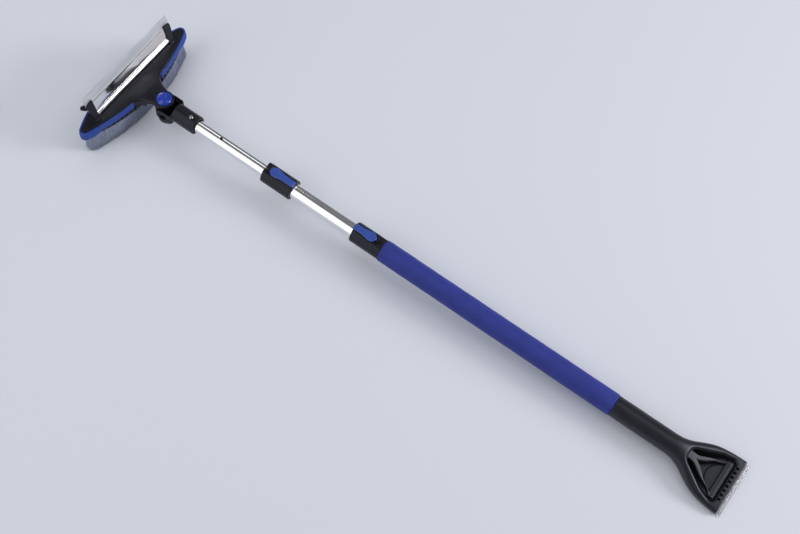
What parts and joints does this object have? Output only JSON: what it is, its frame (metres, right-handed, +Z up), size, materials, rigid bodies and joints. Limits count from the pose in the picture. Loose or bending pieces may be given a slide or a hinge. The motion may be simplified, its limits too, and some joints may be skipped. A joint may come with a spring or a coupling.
{
  "type": "extendable snow brush and ice scraper",
  "caption": "Long telescopic snow brush: pivoting brush head with a squeegee, locking collars, foam grip and a flared ice scraper with a clear blade at the other end.",
  "frame": {"origin": "on the surface the tool rests on, under the middle of its bounding box", "axes": "+X along the tool from the brush head to the scraper (the tubes tilt down by 1.6 degrees towards the scraper), +Y along the head, +Z up, out of the button side"},
  "size_m": [1.2352, 0.268, 0.1242],
  "materials": {
    "black_plastic": "satin, fine grain",
    "blue_plastic": "gloss",
    "blue_rubber": "satin",
    "blue_foam": "matt closed-cell foam",
    "clear_blade": "clear, frosted edge",
    "clear_rubber": "translucent",
    "aluminium": "polished",
    "chrome": "polished",
    "steel": "zinc plated",
    "bristle": "dense grey filaments"
  },
  "bodies": {
    "handle": {"scraper_handle": "black_plastic", "scraper_blade": "clear_blade", "blade_pins": "steel", "handle_screw": "steel", "outer_tube": "aluminium", "foam_grip": "blue_foam", "lower_collar": "black_plastic", "lower_collar_rivet": "steel", "lower_lever_pin": "steel", "lower_lever_spring": "steel"},
    "lower_lever": {"lower_lever": "blue_plastic", "lower_lock_pin": "steel"},
    "middle": {"middle_tube": "aluminium", "middle_bushing": "black_plastic", "upper_collar": "black_plastic", "upper_collar_rivet": "steel", "upper_lever_pin": "steel", "upper_lever_spring": "steel"},
    "upper_lever": {"upper_lever": "blue_plastic", "upper_lock_pin": "steel"},
    "upper": {"upper_tube": "aluminium", "upper_bushing": "black_plastic", "yoke": "black_plastic", "ferrule_screw": "chrome", "pivot_sleeve": "steel", "pivot_washer": "steel", "lock_plate": "steel", "pivot_bolt": "steel", "pivot_nut": "steel", "button_spring": "steel"},
    "head": {"head_body": "black_plastic", "bumper_band": "blue_rubber", "bristle_block": "black_plastic", "bristles": "bristle", "squeegee_channel": "aluminium", "squeegee_blade": "clear_rubber", "squeegee_clip_left": "black_plastic", "squeegee_clip_right": "black_plastic", "channel_screws": "steel"},
    "button": {"button_cap": "blue_plastic", "lock_sleeve": "black_plastic"}
  },
  "joints": [
    {"name": "middle_slide", "type": "slide", "parent": "handle", "child": "middle", "axis": [0.9996, 0, -0.0283], "range_m": [0, 0.111]},
    {"name": "upper_slide", "type": "slide", "parent": "middle", "child": "upper", "axis": [0.9996, 0, -0.0283], "range_m": [0, 0.145]},
    {"name": "lower_lever_press", "type": "hinge", "parent": "handle", "child": "lower_lever", "pos_m": [-0.09156, 0, 0.0573], "axis": [0, 1, 0], "range_deg": [0, 8], "stiffness_Nm_per_rad": 0.3, "springref_deg": -8.59, "deforming": ["lower_lever_spring"]},
    {"name": "upper_lever_press", "type": "hinge", "parent": "middle", "child": "upper_lever", "pos_m": [-0.263, 0, 0.06216], "axis": [0, -1, 0], "range_deg": [0, 8], "stiffness_Nm_per_rad": 0.3, "springref_deg": -8.59, "deforming": ["upper_lever_spring"]},
    {"name": "head_pivot", "type": "hinge", "parent": "upper", "child": "head", "pos_m": [-0.51388, 0, 0.05205], "axis": [0.0283, 0, 0.9996], "range_deg": [-90, 90]},
    {"name": "button_press", "type": "slide", "parent": "head", "child": "button", "axis": [-0.0283, 0, -0.9996], "range_m": [0, 0.003], "stiffness_N_per_m": 700, "springref_m": -0.003, "deforming": ["button_spring"]}
  ]
}
